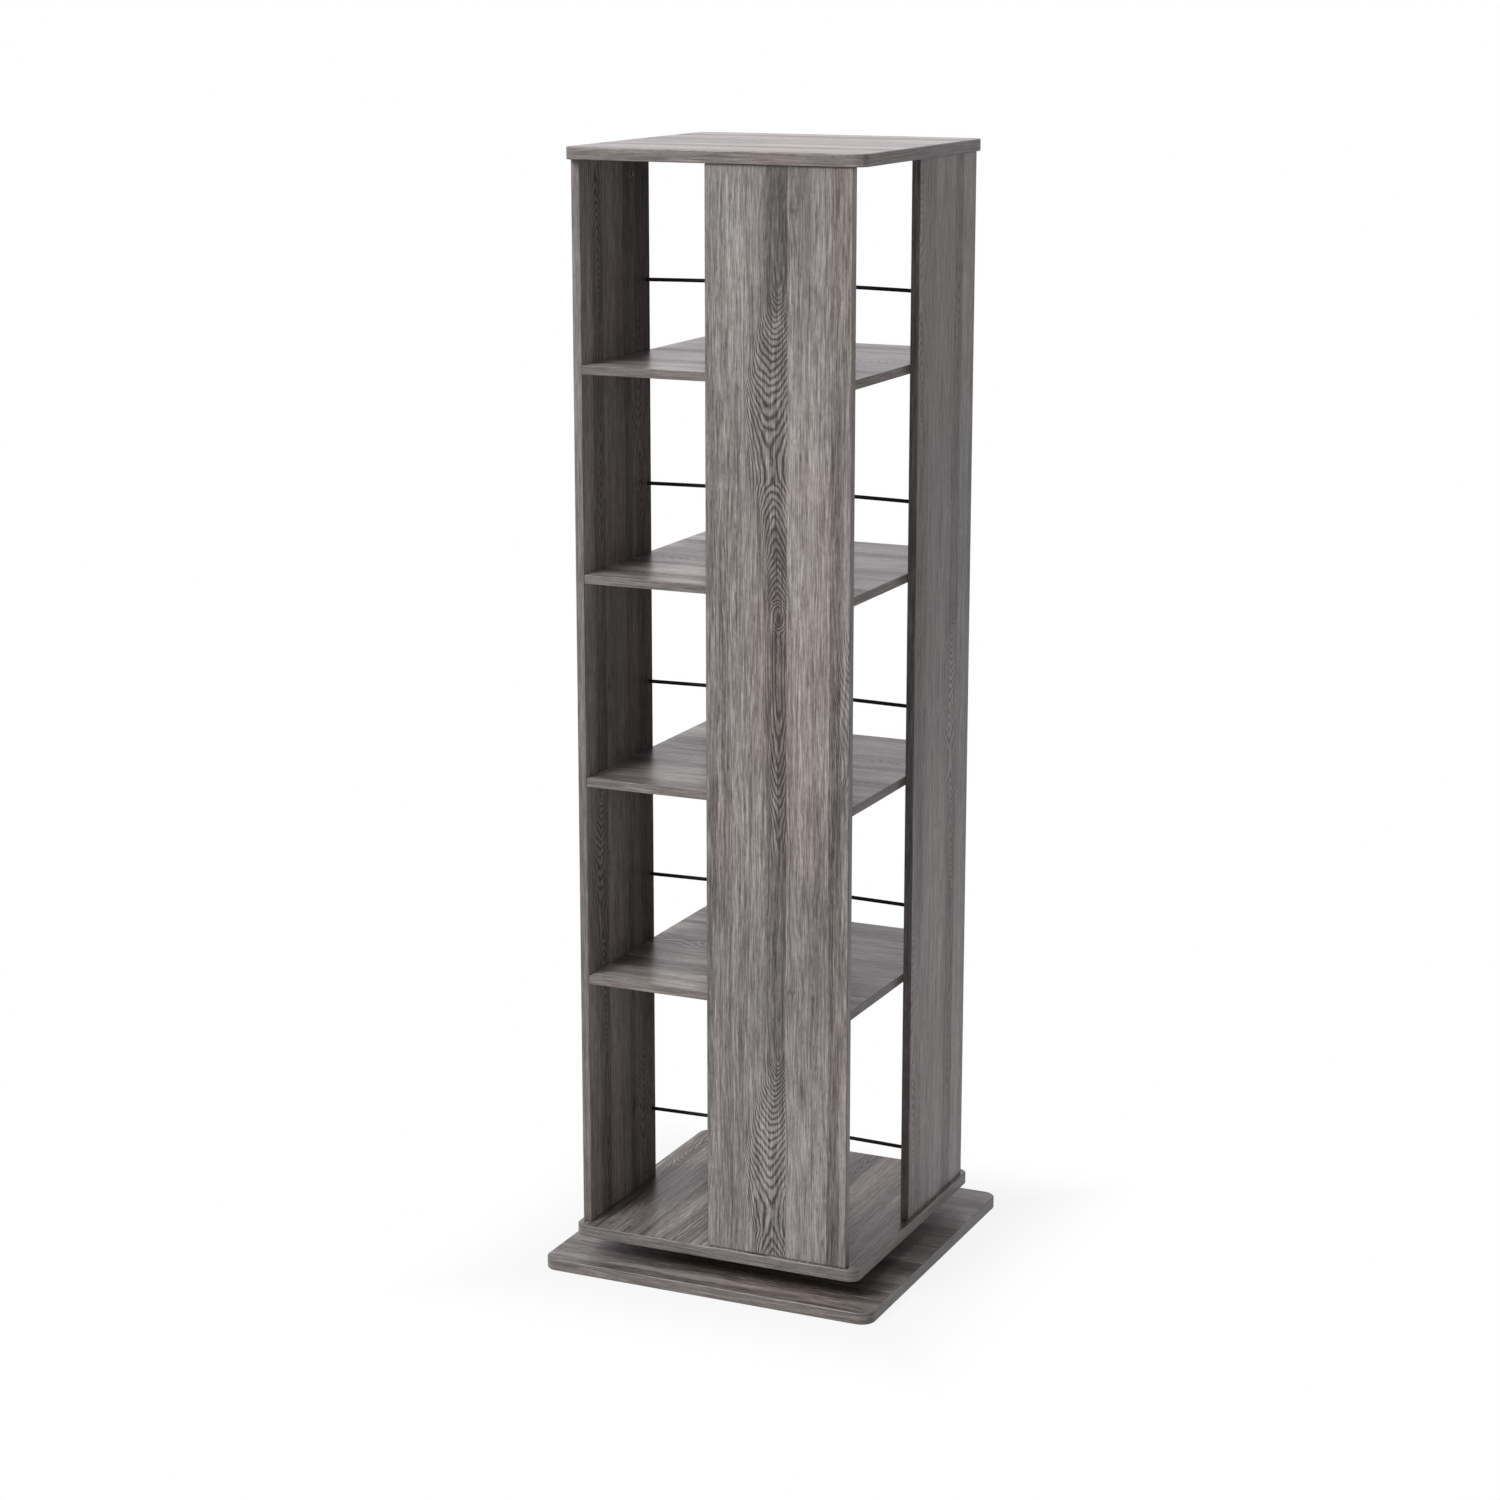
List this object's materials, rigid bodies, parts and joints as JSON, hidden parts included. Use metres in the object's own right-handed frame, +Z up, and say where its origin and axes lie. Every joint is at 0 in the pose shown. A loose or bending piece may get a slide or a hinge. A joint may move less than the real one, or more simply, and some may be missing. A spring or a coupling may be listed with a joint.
{
  "type": "rotating media tower",
  "caption": "Tall square storage tower whose upright panels stand pinwheel-fashion round open bays, turning on a ball bearing above a square base.",
  "frame": {"origin": "centre of the base plate's underside, on the floor and on the swivel's axis", "axes": "+Z up; +X to the right along the front side and -Y towards the front, square to the tower's sides at rest"},
  "size_m": [0.48, 0.48, 1.5],
  "materials": {
    "grey_oak_laminate": "grey distressed oak laminate with a low sheen",
    "black_rod": "satin black",
    "zinc_hardware": "bright zinc plate",
    "raw_chipboard": "bare board"
  },
  "bodies": {
    "base": {"base_plate": "grey_oak_laminate", "swivel_lower_plate": "zinc_hardware", "lower_plate_screw_1": "zinc_hardware", "lower_plate_screw_2": "zinc_hardware", "lower_plate_screw_3": "zinc_hardware", "lower_plate_screw_4": "zinc_hardware"},
    "ball_ring": {"bearing_ball_ring": "zinc_hardware"},
    "tower": {"swivel_upper_plate": "zinc_hardware", "spacer_board": "raw_chipboard", "floor_plate": "grey_oak_laminate", "top_plate": "grey_oak_laminate", "shelf_1": "grey_oak_laminate", "shelf_2": "grey_oak_laminate", "shelf_3": "grey_oak_laminate", "shelf_4": "grey_oak_laminate", "panel_front": "grey_oak_laminate", "panel_right": "grey_oak_laminate", "panel_back": "grey_oak_laminate", "panel_left": "grey_oak_laminate", "rod_left_right_1": "black_rod", "rod_left_right_2": "black_rod", "rod_left_right_3": "black_rod", "rod_left_right_4": "black_rod", "rod_left_right_5": "black_rod", "rod_front_back_1": "black_rod", "rod_front_back_2": "black_rod", "rod_front_back_3": "black_rod", "rod_front_back_4": "black_rod", "rod_front_back_5": "black_rod", "cam_front_shelf_1": "zinc_hardware", "cam_front_shelf_2": "zinc_hardware", "cam_front_shelf_3": "zinc_hardware", "cam_front_shelf_4": "zinc_hardware", "cam_right_shelf_1": "zinc_hardware", "cam_right_shelf_2": "zinc_hardware", "cam_right_shelf_3": "zinc_hardware", "cam_right_shelf_4": "zinc_hardware", "cam_back_shelf_1": "zinc_hardware", "cam_back_shelf_2": "zinc_hardware", "cam_back_shelf_3": "zinc_hardware", "cam_back_shelf_4": "zinc_hardware", "cam_left_shelf_1": "zinc_hardware", "cam_left_shelf_2": "zinc_hardware", "cam_left_shelf_3": "zinc_hardware", "cam_left_shelf_4": "zinc_hardware", "cam_front_top": "zinc_hardware", "cam_right_top": "zinc_hardware", "cam_back_top": "zinc_hardware", "cam_left_top": "zinc_hardware", "upper_plate_screw_1": "zinc_hardware", "upper_plate_screw_2": "zinc_hardware", "upper_plate_screw_3": "zinc_hardware", "upper_plate_screw_4": "zinc_hardware", "floor_screw_front": "zinc_hardware", "floor_screw_right": "zinc_hardware", "floor_screw_back": "zinc_hardware", "floor_screw_left": "zinc_hardware"}
  },
  "joints": [
    {"name": "tower_turn", "type": "hinge", "parent": "base", "child": "tower", "pos_m": [0, 0, 0.02095], "axis": [0, 0, 1], "continuous": true},
    {"name": "ball_ring_turn", "type": "hinge", "parent": "base", "child": "ball_ring", "pos_m": [0, 0, 0.02095], "axis": [0, 0, 1], "continuous": true}
  ],
  "couplings": [
    {"joint": "ball_ring_turn", "follows": "tower_turn", "ratio": 0.5}
  ]
}
